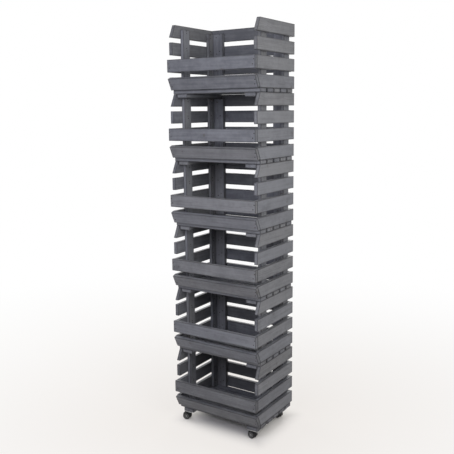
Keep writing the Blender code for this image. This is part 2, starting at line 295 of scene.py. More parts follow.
# anthracite stain over softwood: growth rings, fibres, knots, worn edges, board-to-board tone and painted
# shade along every edge
timber = {
    "deep": (0.094, 0.096, 0.106, 1.0),
    "pale": (0.200, 0.203, 0.218, 1.0),
    "cool": (0.980, 0.990, 1.027, 1.0),
    "warm": (1.014, 1.005, 0.988, 1.0),
    "bare": (0.26, 0.25, 0.235, 1.0),
    "knot": (0.082, 0.074, 0.070, 1.0),
    # colour towards which the painted shade along the edges darkens
    "edgeShadeColour": (0.012, 0.012, 0.015, 1.0),
    "boardShift": (31.0, 17.0, 23.0),   # by which a board's chance numbers move it in the noise
    # each noise: cells per metre along, across and through a board, then detail and roughness
    "noises": {
        "rings": ((5.0, 9.0, 9.0), 2.0, 0.5),
        "fibres": ((9.0, 520.0, 520.0), 3.0, 0.6),
        "strokes": ((5.5, 95.0, 60.0), 3.0, 0.55),
        "blots": ((16.0, 16.0, 16.0), 3.0, 0.6),
        "mottle": ((70.0, 70.0, 70.0), 2.0, 0.55),
        "knotRim": ((210.0, 210.0, 210.0), 2.0, 0.5),
        "rubbing": ((60.0, 160.0, 160.0), 3.0, 0.6),
    },
    "knotCells": 8.5,           # cells per metre that may hold a knot; knots are measured in cells
    "knotChance": (0.50, 0.52),
    "knotLeast": 0.022,
    "knotSpread": 0.045,
    "knotRagged": 0.030,
    "knotRim": (0.72, 1.05),
    "knotHalo": (0.9, 3.4),
    "ringWidth": 0.0034,
    "ringWander": 0.018,
    "ringWanderDeep": 0.6,
    "ringsPushed": 2.6,         # rings by which a knot bends those round it
    "lateCurve": 2.6,
    "lateMiddle": 0.28,
    "heartSpread": 0.085,
    "heartLean": 0.06,
    "heartDepth": (0.006, 0.05),
    "edgeReach": (0.0003, 0.0040),
    "endReach": (0.0003, 0.0010),
    "wearReach": (0.0005, 0.0021),
    "wearRagged": 0.0040,
    "wearPatches": (0.35, 0.65),
    "middleTone": 0.49,
    "roughness": 0.5,
    "gloss": 0.28,
    # weights of the layers in the tone, the warmth, the roughness and the bump
    "toneOf": {"board": 0.20, "strokes": 0.74, "fibres": 0.42, "blots": 0.78, "mottle": 0.34,
               "lateWood": -0.22, "endGrain": -0.09, "knotHalo": -0.10},
    "warmthOf": {"boardWarmth": 0.7, "blots": 0.3},
    "roughnessOf": {"fibres": 0.24, "blots": 0.20, "wear": 0.12, "endGrain": 0.2, "knot": -0.1},
    "heightOf": {"lateWood": 0.34, "fibres": 0.55, "strokes": 0.35, "knot": 0.55},
    "warmthReach": (0.0, 0.70),
    "edgeShade": 0.72,          # painted shade that darkens every edge of the boards
    "wearShade": 0.13,
    "knotShade": 0.55,
    "bump": (0.55, 0.0004),     # strength, and depth in metres
}


def timberMaterial(s):
    finish, shader, w = newMaterial("stainedTimber", s["gloss"])

    def stored(name, out="Vector"):
        return w.node("ShaderNodeAttribute", {"attribute_name": name}, {}, out)

    place, half, chance = stored("boardPlace"), stored("boardHalf"), stored("boardChance")
    x, y, z = place.parts()
    chanceX, chanceY, chanceZ = chance.parts()
    own = place.vector("ADD", place, chance.vector("MULTIPLY", chance, s["boardShift"]))

    def grain(kind):
        cells, detail, roughness = s["noises"][kind]
        return w.noise(own.vector("MULTIPLY", own, cells), 1.0, detail, roughness)

    # knots go right through a board, so they are found in its length and width only
    flat = own.vector("MULTIPLY", own, (1.0, 1.0, 0.0))
    cells = {"voronoi_dimensions": "2D", "feature": "F1"}
    knotFar = w.node("ShaderNodeTexVoronoi", cells, {"Vector": flat, "Scale": s["knotCells"]}, "Distance")
    knotPick, knotSizePick = knotFar.also("Color").parts()[:2]
    ragged = grain("knotRim") * s["knotRagged"] - s["knotRagged"] / 2
    knotShare = (knotFar + ragged) / (knotSizePick * s["knotSpread"] + s["knotLeast"])
    present = knotPick.ramp(*s["knotChance"])
    knotMask = (1.0 - knotShare.ramp(*s["knotRim"])) * present
    knotHalo = (1.0 - knotShare.ramp(*s["knotHalo"])) * present

    # growth rings round a heart line that lies outside most boards
    wander = grain("rings") * s["ringWander"] - s["ringWander"] / 2
    leastDepth, depthSpread = s["heartDepth"]
    heartY = (chanceY - 0.5) * s["heartSpread"] + x * ((chanceX - 0.5) * s["heartLean"])
    heartZ = chanceZ * depthSpread + leastDepth
    outY = y - heartY + wander
    outZ = z - heartZ + wander * s["ringWanderDeep"]
    away = (outY * outY + outZ * outZ) ** 0.5
    phase = away / s["ringWidth"] + knotHalo * s["ringsPushed"]
    late = phase.number("FRACT", phase) ** s["lateCurve"]

    # distance to the nearest edge of the board: the middle one of the three distances to its faces
    room = half.vector("SUBTRACT", half, place.vector("ABSOLUTE", place))
    roomX, roomY, roomZ = room.parts()
    lesser = room.number("MINIMUM", roomX, roomY)
    greater = room.number("MAXIMUM", roomX, roomY)
    edge = room.number("MAXIMUM", lesser, room.number("MINIMUM", greater, roomZ))
    rubbed = grain("rubbing")
    worn = 1.0 - (edge - (rubbed - 0.5) * s["wearRagged"]).ramp(*s["wearReach"])
    wear = worn * rubbed.ramp(*s["wearPatches"])
    endGrain = 1.0 - roomX.ramp(*s["endReach"])

    layers = {"board": chanceX - 0.5, "boardWarmth": chanceZ, "lateWood": late - s["lateMiddle"]}
    layers |= {"endGrain": endGrain, "knot": knotMask, "knotHalo": knotHalo, "wear": wear}
    for kind in ("strokes", "fibres", "blots", "mottle"):
        layers[kind] = grain(kind) - 0.5

    # the stored tone, which holds painted shade for the back slats, shifts the middle tone
    tone = mixed(layers, s["toneOf"], s["middleTone"] + stored("boardTone", "Fac"))
    colour = w.tint(tone.ramp(0.0, 1.0), s["deep"], s["pale"])
    warmth = mixed(layers, s["warmthOf"]).ramp(*s["warmthReach"])
    colour = w.tint(1.0, colour, w.tint(warmth, s["cool"], s["warm"]), "MULTIPLY")
    # painted shade: every edge of a board is darkened
    colour = w.tint((1.0 - edge.ramp(*s["edgeReach"])) * s["edgeShade"], colour, s["edgeShadeColour"])
    colour = w.tint(wear * s["wearShade"], colour, s["bare"])
    colour = w.tint(knotMask * s["knotShade"], colour, s["knot"])
    feed(shader, "Base Color", colour)
    feed(shader, "Roughness", mixed(layers, s["roughnessOf"], s["roughness"]))
    feed(shader, "Normal", mixed(layers, s["heightOf"]).bump(*s["bump"]))
    return finish


# small parts: nail heads, moulded plastic, zinc and bright steel, each with a colour that gives way to a
# dull one. A grain is how much finer it is along Z, then cells per metre, detail and roughness.
moulded = {
    "grains": {"cloud": (1.0, 120.0, 4.0, 0.6), "scuffs": (3.0, 900.0, 3.0, 0.6)},
    "dullOf": {"cloud": 0.7, "scuffs": 0.3},
    "dullReach": (0.42, 0.72),
    "dusty": (0.036, 0.35, 0.12),   # more dust up to this height over the floor, how much, and elsewhere
    "metallic": (0.0, 0.0),
    "roughness": 0.26,
    "roughnessOf": {"dull": 0.45, "scuffs": 0.14},
    "heightOf": {"scuffs": 1.0, "cloud": 0.5},
    "bump": (0.22, 0.0001),         # strength, and depth in metres
}
smallParts = {
    "nailSteel": {
        "colour": (0.045, 0.044, 0.045, 1.0),
        "dull": (0.085, 0.066, 0.052, 1.0),
        "gloss": 0.5,
        "grains": {"patches": (1.0, 260.0, 3.0, 0.6), "pits": (1.0, 1800.0, 2.0, 0.5)},
        "dullOf": {"patches": 1.0},
        "dullReach": (0.45, 0.62),
        "metallic": (0.85, 0.6),    # where bright, and how much less where dull
        "roughness": 0.42,
        "roughnessOf": {"patches": 0.25},
        "heightOf": {"pits": 1.0},
        "bump": (0.4, 0.0001),
    },
    "blackPlastic": {
        **moulded,
        "colour": (0.007, 0.007, 0.008, 1.0),
        "dull": (0.10, 0.098, 0.093, 1.0),
        "gloss": 0.3,
    },
    "greyPlastic": {
        **moulded,
        "colour": (0.062, 0.062, 0.062, 1.0),
        "dull": (0.15, 0.147, 0.14, 1.0),
        "gloss": 0.4,
    },
    "zincPlated": {
        "colour": (0.60, 0.61, 0.63, 1.0),
        "dull": (0.36, 0.36, 0.36, 1.0),
        "gloss": 0.5,
        "grains": {"cloud": (1.0, 90.0, 4.0, 0.6)},
        "flakeCells": 420.0,
        "dullOf": {"flakes": 0.35, "cloud": 0.65},
        "dullReach": (0.38, 0.72),
        "metallic": (1.0, 0.0),
        "roughness": 0.24,
        "roughnessOf": {"dull": 0.28, "flakes": 0.08},
        "heightOf": {"cloud": 1.0, "flakes": 0.3},
        "bump": (0.2, 0.0001),
    },
    "drawnSteel": {
        "colour": (0.55, 0.55, 0.57, 1.0),
        "dull": (0.27, 0.25, 0.23, 1.0),
        "gloss": 0.5,
        "grains": {"lines": (9.0, 700.0, 3.0, 0.65), "spots": (1.0, 240.0, 3.0, 0.6)},
        "dullOf": {"spots": 1.0},
        "dullReach": (0.52, 0.72),
        "metallic": (1.0, 0.0),
        "roughness": 0.22,
        "roughnessOf": {"lines": 0.2, "dull": 0.2},
        "heightOf": {"lines": 1.0},
        "bump": (0.25, 0.0001),
    },
}


def smallMaterial(name, s):
    finish, shader, w = newMaterial(name, s["gloss"])
    place = w.node("ShaderNodeTexCoord", {}, {}, "Object")
    layers = {}
    for grain, (stretch, *noise) in s["grains"].items():
        layers[grain] = w.noise(place.vector("MULTIPLY", place, (1.0, 1.0, stretch)), *noise)
    if "flakeCells" in s:
        cells = {"Vector": place, "Scale": s["flakeCells"]}
        layers["flakes"] = w.node("ShaderNodeTexVoronoi", {}, cells, "Color").parts()[0]
    dull = mixed(layers, s["dullOf"]).ramp(*s["dullReach"])
    if "dusty" in s:
        height, more, least = s["dusty"]
        dull = dull * ((1.0 - place.parts()[2].ramp(0.0, height)) * more + least)
    layers["dull"] = dull
    feed(shader, "Base Color", w.tint(dull, s["colour"], s["dull"]))
    metallic, less = s["metallic"]
    shader.inputs["Metallic"].default_value = metallic
    if less:
        feed(shader, "Metallic", metallic - dull * less)
    feed(shader, "Roughness", mixed(layers, s["roughnessOf"], s["roughness"]))
    feed(shader, "Normal", mixed(layers, s["heightOf"]).bump(*s["bump"]))
    return finish


woodFinish = timberMaterial(timber)
finishes = {name: smallMaterial(name, s) for name, s in smallParts.items()}
print("finishes ready")

# a run of like boards, laid one above the other along local Y, with eased edges.
# Each board keeps its own place, size, tone and three chance numbers for the stain to read.
boardMesh = {
    "along": 18,                        # corners along a board, and across it
    "across": 4,
    "rubbedShift": (40.0, 30.0, 20.0),  # by which a board's chance numbers move it in the noise
    "rubbedAcross": 0.2,
    "rubbedCells": 26.0,
    "rubbedLeast": 0.45,                # shares of the edge radius
    "rubbedSpread": 1.1,
    "slantReach": 3.5,                  # the pull of a slanted end fades out this many slants along
    "slantLeast": 0.001,                # metres added to that, so that it is never nought
    "bendCells": (4.0, 3.1, 9.0),       # along a board, from board to board, and by chance
    "twistShift": (5.0, 5.0, 5.0),
    "edgeMargin": 0.01,                 # by which a smooth face's middle lies past the inner ring
}


def newTree(name, given, result):
    tree = bpy.data.node_groups.new(name, "GeometryNodeTree")
    for label, kind in given:
        tree.interface.new_socket(label, in_out="INPUT", socket_type="NodeSocket" + kind)
    tree.interface.new_socket(result, in_out="OUTPUT", socket_type="NodeSocketGeometry")
    t = Wire(tree)
    start = t.node("NodeGroupInput")
    return tree, t, {label: start.also(label) for label, kind in given}


def keep(geometry, name, value, domain="POINT", kind="FLOAT_VECTOR"):
    sockets = {"Geometry": geometry, "Name": name, "Value": value}
    return geometry.node("GeometryNodeStoreNamedAttribute", {"data_type": kind, "domain": domain}, sockets)


def read(t, name, kind="FLOAT_VECTOR"):
    return t.node("GeometryNodeInputNamedAttribute", {"data_type": kind}, {"Name": name})


def combine(t, x, y, z):
    return t.node("ShaderNodeCombineXYZ", {}, {0: x, 1: y, 2: z})


def boardRunTree(s):
    sizes = ["Length", "Width", "Thickness", "Step", "Edge Radius", "Slant", "Wander", "Warp", "Shortening"]
    given = [(size, "Float") for size in sizes + ["Tone"]]
    given += [("Count", "Int"), ("Seed", "Int"), ("Material", "Material")]
    tree, t, g = newTree("boardRun", given, "Boards")
    length, width, thickness = g["Length"], g["Width"], g["Thickness"]
    rows = s["across"]
    grid = {"Size": (1, 1, 1), "Vertices X": s["along"], "Vertices Y": rows, "Vertices Z": rows}
    block = keep(t.node("GeometryNodeMeshCube", {}, grid), "unit", t.node("GeometryNodeInputPosition"))
    steps = {"Count": g["Count"], "Offset": combine(t, 0.0, g["Step"], 0.0)}
    line = t.node("GeometryNodeMeshLine", {"mode": "OFFSET"}, steps)
    boards = t.node("GeometryNodeInstanceOnPoints", {}, {"Points": line, "Instance": block})
    boards = keep(boards, "middle", t.node("GeometryNodeInputPosition"), "INSTANCE")
    boards = keep(boards, "number", t.node("GeometryNodeInputIndex"), "INSTANCE", "FLOAT")
    boards = boards.done("RealizeInstances")

    number = read(t, "number", "FLOAT")
    pick = t.node("FunctionNodeRandomValue", {"data_type": "FLOAT_VECTOR"}, {"ID": number, "Seed": g["Seed"]})
    boards = keep(boards, "boardChance", pick)
    boards = keep(boards, "boardTone", g["Tone"], kind="FLOAT")
    chance = read(t, "boardChance")
    chanceX, chanceY, chanceZ = chance.parts()
    unitX, unitY, unitZ = read(t, "unit").parts()
    shift = chance.vector("MULTIPLY", chance, s["rubbedShift"])
    noisy = combine(t, unitX * length, unitY * s["rubbedAcross"], unitZ * s["rubbedAcross"])
    rubbed = t.noise(noisy.vector("ADD", noisy, shift), s["rubbedCells"])
    radius = g["Edge Radius"] * (s["rubbedLeast"] + rubbed * s["rubbedSpread"])

    # the outer ring of corners lies on the box, the next one a radius further in
    def spread(unit, size, ring):
        share = unit * 2.0
        inner = size / 2.0 - radius
        outside = share.number("GREATER_THAN", share.number("ABSOLUTE", share), (1.0 + ring) / 2.0)
        held = outside * share * inner + (1.0 - outside) * share / ring * inner
        return held, held + outside * share * radius

    endRing, sideRing = 1.0 - 2.0 / (s["along"] - 1), 1.0 - 2.0 / (rows - 1)
    heldX, sharpX = spread(unitX, length, endRing)
    heldY, sharpY = spread(unitY, width, sideRing)
    heldZ, sharpZ = spread(unitZ, thickness, sideRing)
    held = combine(t, heldX, heldY, heldZ)
    proud = held.vector("SUBTRACT", combine(t, sharpX, sharpY, sharpZ), held)
    eased = held.vector("ADD", held, proud.vector("NORMALIZE", proud).scaled(radius))
    boards = keep(boards, "boardPlace", eased)
    boards = keep(boards, "boardHalf", combine(t, length / 2.0, width / 2.0, thickness / 2.0))

    # slanted front ends on the first and the last board, boards a little short, shifted and bent
    x, y, z = read(t, "boardPlace").parts()
    first = number.number("LESS_THAN", number, 0.5)
    last = number.number("GREATER_THAN", number, g["Count"] - 1.5)
    across = y / width
    lean = g["Slant"] * (last * (across + 0.5) + first * (0.5 - across))
    reach = g["Slant"] * s["slantReach"] + s["slantLeast"]
    nearEnd = x.number("MAXIMUM", 1.0 - (x + length / 2.0) / reach, 0.0)
    cellsX, cellsY, cellsZ = s["bendCells"]
    slow = combine(t, x * cellsX, number * cellsY, chanceX * cellsZ)
    bend = t.noise(slow, 1.0, 1.0)
    twist = t.noise(slow.vector("ADD", slow, s["twistShift"]), 1.0, 1.0)
    free = 1.0 - first - last
    newX = (x + lean * nearEnd) * (1.0 - g["Shortening"] * chanceZ)
    newY = y + free * (chanceY - 0.5) * 2.0 * g["Wander"]
    newZ = z + (bend - 0.5) * g["Warp"] + across * (twist - 0.5) * g["Warp"]
    middle = read(t, "middle")
    placed = middle.vector("ADD", middle, combine(t, newX, newY, newZ))
    boards = boards.done("SetPosition", {"Position": placed})

    # only the eased edges are shaded smooth
    def onEdge(unit, ring):
        return unit.number("GREATER_THAN", unit.number("ABSOLUTE", unit), ring / 2.0 + s["edgeMargin"])

    edges = onEdge(unitX, endRing) + onEdge(unitY, sideRing) + onEdge(unitZ, sideRing)
    rounded = edges.number("GREATER_THAN", edges, 1.5)
    boards = boards.done("SetShadeSmooth", {"Shade Smooth": rounded})
    for name in ("unit", "middle", "number"):
        boards = boards.done("RemoveAttribute", {"Name": name})
    boards = boards.done("RealizeInstances")
    boards = boards.done("SetMaterial", {"Material": g["Material"]})
    t.node("NodeGroupOutput", {}, {0: boards})
    return tree


# runs a tree on a mesh and hands back the plain result
def grown(name, tree, values, base=None):
    carrier = added(name, base or bpy.data.meshes.new(name))
    step = carrier.modifiers.new(tree.name, "NODES")
    step.node_group = tree
    for item in tree.interface.items_tree:
        if item.in_out == "INPUT" and item.name in values:
            step[item.identifier] = values[item.name]
    mesh = resultOf(carrier)
    mesh.name = name
    carrier.modifiers.clear()
    bpy.data.objects.remove(carrier)
    return mesh


# joins meshes into one finished piece that rides on a body
def addPiece(name, meshes, body, replaces=()):
    objects = [added(name, mesh) for mesh in meshes]
    piece = objects[0]
    if len(objects) > 1:
        with bpy.context.temp_override(active_object=piece, object=piece, selected_editable_objects=objects):
            bpy.ops.object.join()
    piece.name = name
    piece.data.name = name
    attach(piece, body)
    if replaces:
        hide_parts(*replaces)


# axes are where local X (along the board), Y (along the run) and Z (its thickness) point
def placedRun(size, look, centre, axes, **values):
    width, thickness = size
    sizes = {"Width": width, "Thickness": thickness - boardSizes["recess"]}
    sizes = {**boardSizes["common"], **sizes, **look, **values}
    mesh = grown("boards", boardRun, {**sizes, "Material": woodFinish})
    along, up = Vector(axes[0]), Vector(axes[1])
    mesh.transform(Matrix.Translation(centre) @ turnedTo(along, up, along.cross(up)))
    return mesh


boardSizes = {
    "common": {"Count": 1, "Step": 0.0, "Edge Radius": 0.0013, "Slant": 0.0, "Wander": 0.0,
               "Warp": 0.0004, "Shortening": 0.0018},
    "recess": 0.0003,          # the drawn boards are this much thinner, so nail heads stay inside the outline
    "slat": (0.0485, 0.0155),
    "slatStep": 0.0668,
    "slatWander": 0.0007,
    "levels": 4,
    "slant": 0.023,
    "post": (0.042, 0.0155),
    "frontPostMiddle": 0.075,  # from the wall's front end
    "rearPostMiddle": 0.0368,  # from the wall's rear end
    "upright": (0.0485, 0.0155),
    "uprightGap": 0.0003,      # between an upright and the side wall's post
    "postShort": 0.0155,       # posts end this far below the rim
    "floorSlat": (0.042, 0.0155),
    "floorSlats": 5,
    "floorWander": 0.001,
    "runner": (0.0485, 0.0155),
    "runnerMiddle": 0.15775,
    "frontBoard": (0.0485, 0.0152),
    # a scratch program searched for the two seed numbers and fitted the tones, both to the photograph
    "firstSeed": 780,
    "crateSeedStep": 165,
    "crateTones": (-0.12, 0.05, 0.07, 0.15, 0.03, -0.05),   # lighter or darker, from the bottom crate up
    # tone of each kind of board; the back slats are darker as painted shade inside the crates
    "runTonesAndShade": {
        "leftSlats": -0.10, "rightSlats": 0.12, "leftPosts": 0.18, "rightPosts": 0.0, "backSlats": -0.25,
        "uprights": 0.08, "floorSlats": 0.09, "runners": 0.10, "upperFront": 0.03, "lowerFront": 0.0,
    },
}
boardRun = boardRunTree(boardMesh)


# the leans: the upper front board stands upright and the lower one lies on the slanted slats
def frontBoards(s):
    return ("upper", 0.0), ("lower", math.atan2(s["slant"], s["slat"][0]))


def postMiddles(low, high, s):
    return low.y + s["frontPostMiddle"], high.y - s["rearPostMiddle"]


def floorStep(low, high, s):
    return (high.y - low.y - s["floorSlat"][0]) / (s["floorSlats"] - 1)


def buildCrate(tier, s):
    body = crateBodies[tier - 1]
    look = {}
    # each run takes its crate's tone and its kind's, which for the back slats is painted shade
    for number, (run, tone) in enumerate(s["runTonesAndShade"].items()):
        seed = s["firstSeed"] + tier * s["crateSeedStep"] + number
        look[run] = {"Seed": seed, "Tone": s["crateTones"][tier - 1] + tone}
    levels = {"Count": s["levels"], "Step": s["slatStep"], "Wander": s["slatWander"]}
    slatWidth, slatDeep = s["slat"]

    for side in ("left", "right"):
        node = f"tier_{tier}_{side}_side"
        low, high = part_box(node)
        outward = -1 if side == "left" else 1
        outer = low.x if side == "left" else high.x
        inner = high.x if side == "left" else low.x
        slatsPlace = (outer - outward * slatDeep / 2, (low.y + high.y) / 2, low.z + slatWidth / 2)
        slats = placedRun(
            s["slat"], look[f"{side}Slats"], slatsPlace, ((0, 1, 0), (0, 0, 1)),
            Length=high.y - low.y, Slant=s["slant"], **levels,
        )
        postTop = high.z - s["postShort"]
        frontPost, rearPost = postMiddles(low, high, s)
        postsPlace = (inner + outward * s["post"][1] / 2, frontPost, (low.z + postTop) / 2)
        posts = placedRun(
            s["post"], look[f"{side}Posts"], postsPlace, ((0, 0, 1), (0, 1, 0)),
            Length=postTop - low.z, Count=2, Step=rearPost - frontPost,
        )
        addPiece(f"{node}_boards", [slats, posts], body, [node])

    node = f"tier_{tier}_back_panel"
    low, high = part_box(node)
    slatsPlace = (0.0, high.y - slatDeep / 2, low.z + slatWidth / 2)
    axes = ((1, 0, 0), (0, 0, 1))
    slats = placedRun(s["slat"], look["backSlats"], slatsPlace, axes, Length=high.x - low.x, **levels)
    postTop = high.z - s["postShort"]
    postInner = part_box(f"tier_{tier}_right_side")[0].x
    middle = postInner - s["uprightGap"] - s["upright"][0] / 2
    uprightsPlace = (-middle, low.y + s["upright"][1] / 2, (low.z + postTop) / 2)
    uprights = placedRun(
        s["upright"], look["uprights"], uprightsPlace, ((0, 0, 1), (1, 0, 0)),
        Length=postTop - low.z, Count=2, Step=2 * middle,
    )
    addPiece(f"{node}_boards", [slats, uprights], body, [node])

    node = f"tier_{tier}_floor_panel"
    low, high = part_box(node)
    slatWide, slatThick = s["floorSlat"]
    slatsPlace = (0.0, low.y + slatWide / 2, high.z - slatThick / 2)
    slats = placedRun(
        s["floorSlat"], look["floorSlats"], slatsPlace, ((1, 0, 0), (0, 1, 0)),
        Length=high.x - low.x, Count=s["floorSlats"], Step=floorStep(low, high, s), Wander=s["floorWander"],
    )
    runnersPlace = (s["runnerMiddle"], (low.y + high.y) / 2, low.z + s["runner"][1] / 2)
    runners = placedRun(
        s["runner"], look["runners"], runnersPlace, ((0, 1, 0), (-1, 0, 0)),
        Length=high.y - low.y, Count=2, Step=2 * s["runnerMiddle"],
    )
    addPiece(f"{node}_boards", [slats, runners], body, [node])

    for board, lean in frontBoards(s):
        node = f"tier_{tier}_front_board_{board}"
        low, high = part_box(node)
        axes = ((1, 0, 0), (0, -math.sin(lean), math.cos(lean)))
        middle = (low + high) / 2
        front = placedRun(s["frontBoard"], look[f"{board}Front"], middle, axes, Length=high.x - low.x)
        addPiece(f"{node}_board", [front], body, [node])


for tier in range(1, crateCount + 1):
    buildCrate(tier, boardSizes)
print("crates boarded")

# nail and screw heads: one head is set on every point and faces along that point's aim
def fixingTree():
    given = [("Points", "Geometry"), ("Head", "Object"), ("Size Spread", "Float"), ("Seed", "Int")]
    tree, t, g = newTree("fixings", given + [("Material", "Material")], "Heads")

    def chance(least, most, seed):
        sockets = {"Min": least, "Max": most, "Seed": seed}
        return t.node("FunctionNodeRandomValue", {"data_type": "FLOAT"}, sockets, 1)

    facing = t.node("FunctionNodeAlignRotationToVector", {"axis": "Z"}, {"Vector": read(t, "aim")})
    turn = {"Axis": (0.0, 0.0, 1.0), "Angle": chance(0.0, math.tau, g["Seed"])}
    turns = {"Rotation": facing, "Rotate By": t.node("FunctionNodeAxisAngleToRotation", {}, turn)}
    turned = t.node("FunctionNodeRotateRotation", {"rotation_space": "LOCAL"}, turns)
    size = 1.0 + chance(-1.0, 1.0, g["Seed"] + 1) * g["Size Spread"]
    head = t.node("GeometryNodeObjectInfo", {}, {"Object": g["Head"]}, "Geometry")
    sockets = {"Points": g["Points"], "Instance": head, "Rotation": turned, "Scale": size}
    heads = t.node("GeometryNodeInstanceOnPoints", {}, sockets)
    heads = heads.done("RealizeInstances")
    heads = heads.done("RemoveAttribute", {"Name": "aim"})
    heads = heads.done("SetMaterial", {"Material": g["Material"]})
    t.node("NodeGroupOutput", {}, {0: heads})
    return tree


smoothBelow = math.radians(34)   # edges sharper than this stay crisp
weld = 1e-7                      # corners closer than this many metres become one
carvedWeld = 1e-6
overrun = 0.001                  # by which a cutting shape stands out of what it cuts


# softens the corners of a closed outline, or of an open one that starts and ends on the axis.
# A corner takes at most the share given of the sides beside it.
def softened(points, radius, closed=True, steps=3, share=0.45):
    made = []
    for number, here in enumerate(points):
        here = Vector(here)
        if not closed and number in (0, len(points) - 1):
            made.append(here)
            continue
        before = Vector(points[number - 1]) - here
        after = Vector(points[(number + 1) % len(points)]) - here
        reach = min(radius, before.length * share, after.length * share)
        start, end = here + before.normalized() * reach, here + after.normalized() * reach
        for step in range(steps + 1):
            k = step / steps
            made.append(start * (1 - k) ** 2 + here * (2 * k * (1 - k)) + end * k ** 2)
    return made


def finished(name, bm, distance=weld):
    bmesh.ops.remove_doubles(bm, verts=bm.verts, dist=distance)
    bmesh.ops.recalc_face_normals(bm, faces=bm.faces)
    mesh = bpy.data.meshes.new(name)
    bm.to_mesh(mesh)
    bm.free()
    mesh.shade_smooth()
    mesh.set_sharp_from_angle(angle=smoothBelow)
    return mesh


# a shape turned round Z from (radius, height) points; closed for one with a bore
def turnedShape(name, points, sides, closed=True):
    bm = bmesh.new()
    rings = []
    for radius, height in points:
        count = sides if radius > 0 else 1
        angles = [math.tau * (side + 0.5) / sides for side in range(count)]
        rings.append([bm.verts.new((radius * math.cos(a), radius * math.sin(a), height)) for a in angles])
    for ring, beside in zip(rings, rings[1:] + rings[:1] if closed else rings[1:]):
        for side in range(sides):
            far = (side + 1) % sides
            verts = [ring[side % len(ring)], ring[far % len(ring)]]
            verts += [beside[far % len(beside)], beside[side % len(beside)]]
            bm.faces.new(list(dict.fromkeys(verts)))
    return finished(name, bm)


# rings of points joined one to the next and closed at both ends, where the edges can be softened
def ringedShape(name, places, soft=0.0):
    bm = bmesh.new()
    rings = [[bm.verts.new(place) for place in ring] for ring in places]
    ends = [bm.faces.new(rings[0]), bm.faces.new(rings[-1])]
    for ring, beside in zip(rings, rings[1:]):
        for number in range(len(ring)):
            far = (number + 1) % len(ring)
            bm.faces.new((ring[number], ring[far], beside[far], beside[number]))
    if soft:
        edges = [edge for face in ends for edge in face.edges]
        how = {"offset": soft, "segments": 2, "profile": 0.5, "affect": "EDGES", "clamp_overlap": True}
        bmesh.ops.bevel(bm, geom=edges, **how)
    return finished(name, bm)


# a flat outline given a thickness along Z
def slabShape(name, outline, low, high, soft=0.0):
    return ringedShape(name, [[(x, y, z) for x, y in outline] for z in (low, high)], soft)


# joins closed shapes into one and cuts others out of it
def carved(name, joined, cut):
    shapes = [added(name, mesh) for mesh in joined + cut]
    for number, shape in enumerate(shapes[1:], 1):
        step = shapes[0].modifiers.new(f"step{number}", "BOOLEAN")
        step.operation = "UNION" if number < len(joined) else "DIFFERENCE"
        step.solver = "EXACT"
        step.object = shape
    mesh = resultOf(shapes[0])
    for shape in shapes:
        bpy.data.objects.remove(shape)
    bm = bmesh.new()
    bm.from_mesh(mesh)
    return finished(name, bm, carvedWeld)


def holder(name, mesh):
    made = added(name, mesh)
    made.hide_render = True
    return made


def pointCloud(name, points):
    mesh = bpy.data.meshes.new(name)
    mesh.from_pydata([place for place, aim in points], [], [])
    aims = mesh.attributes.new("aim", "FLOAT_VECTOR", "POINT")
    for number, (place, aim) in enumerate(points):
        aims.data[number].vector = aim
    return mesh


# sets a head on every point as one piece
def addHeads(name, head, points, spread, seed, finish, body):
    values = {"Head": head, "Size Spread": spread, "Seed": seed, "Material": finishes[finish]}
    addPiece(name, [grown(name, fixings, values, pointCloud(name, points))], body)


nails = {
    "headRadius": 0.0024,
    "headProud": 0.00013,
    "headDeep": 0.0004,
    "headCurve": [(0.72, 0.9), (1.0, 0.1)],               # shares of the radius and of how proud it is
    "shankShare": 0.98,
    "sides": 12,
    "sizeSpread": 0.08,
    "seedStep": 10,
    "onFrontPost": [(-0.001, 0.0045), (0.001, -0.004)],   # along the wall and up, from where middles cross
    "onRearPost": [(-0.0115, 0.0045), (-0.0095, -0.009)],
    "onUpright": [(-0.008, 0.004), (0.007, -0.006)],
    "onFrontBoard": [(0.0055, 0.009), (0.011, -0.0085)],  # from the board's end, and up from its middle
    "onFloorSlat": [(0.003, 0.009), (-0.004, -0.008)],
}
fixings = fixingTree()


def nailPoints(tier, s, b):
    points = []
    sunk = b["recess"] / 2
    for side in (-1, 1):
        low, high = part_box(f"tier_{tier}_{'left' if side < 0 else 'right'}_side")
        face = (high.x if side < 0 else low.x) + side * sunk
        frontPost, rearPost = postMiddles(low, high, b)
        levels = [low.z + b["slat"][0] / 2 + level * b["slatStep"] for level in range(b["levels"])]
        for height in levels:
            for middle, spots in ((frontPost, s["onFrontPost"]), (rearPost, s["onRearPost"])):
                points += [((face, middle + along, height + up), (-side, 0, 0)) for along, up in spots]
        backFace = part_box(f"tier_{tier}_back_panel")[0].y + sunk
        middle = side * (abs(face) - b["uprightGap"] - b["upright"][0] / 2)
        for height in levels:
            for along, up in s["onUpright"]:
                points.append(((middle + side * along, backFace, height + up), (0, -1, 0)))

        for board, lean in frontBoards(b):
            low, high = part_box(f"tier_{tier}_front_board_{board}")
            upward = Vector((0, -math.sin(lean), math.cos(lean)))
            outward = Vector((0, -math.cos(lean), -math.sin(lean)))
            for inward, up in s["onFrontBoard"]:
                centre = Vector((side * (high.x - inward), (low.y + high.y) / 2, (low.z + high.z) / 2))
                points.append((centre + upward * up + outward * (b["frontBoard"][1] / 2 - sunk), outward))

        low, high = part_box(f"tier_{tier}_floor_panel")
        for slat in range(b["floorSlats"]):
            middle = low.y + b["floorSlat"][0] / 2 + slat * floorStep(low, high, b)
            for along, up in s["onFloorSlat"]:
                points.append(((side * (b["runnerMiddle"] + along), middle + up, high.z - sunk), (0, 0, 1)))
    return points


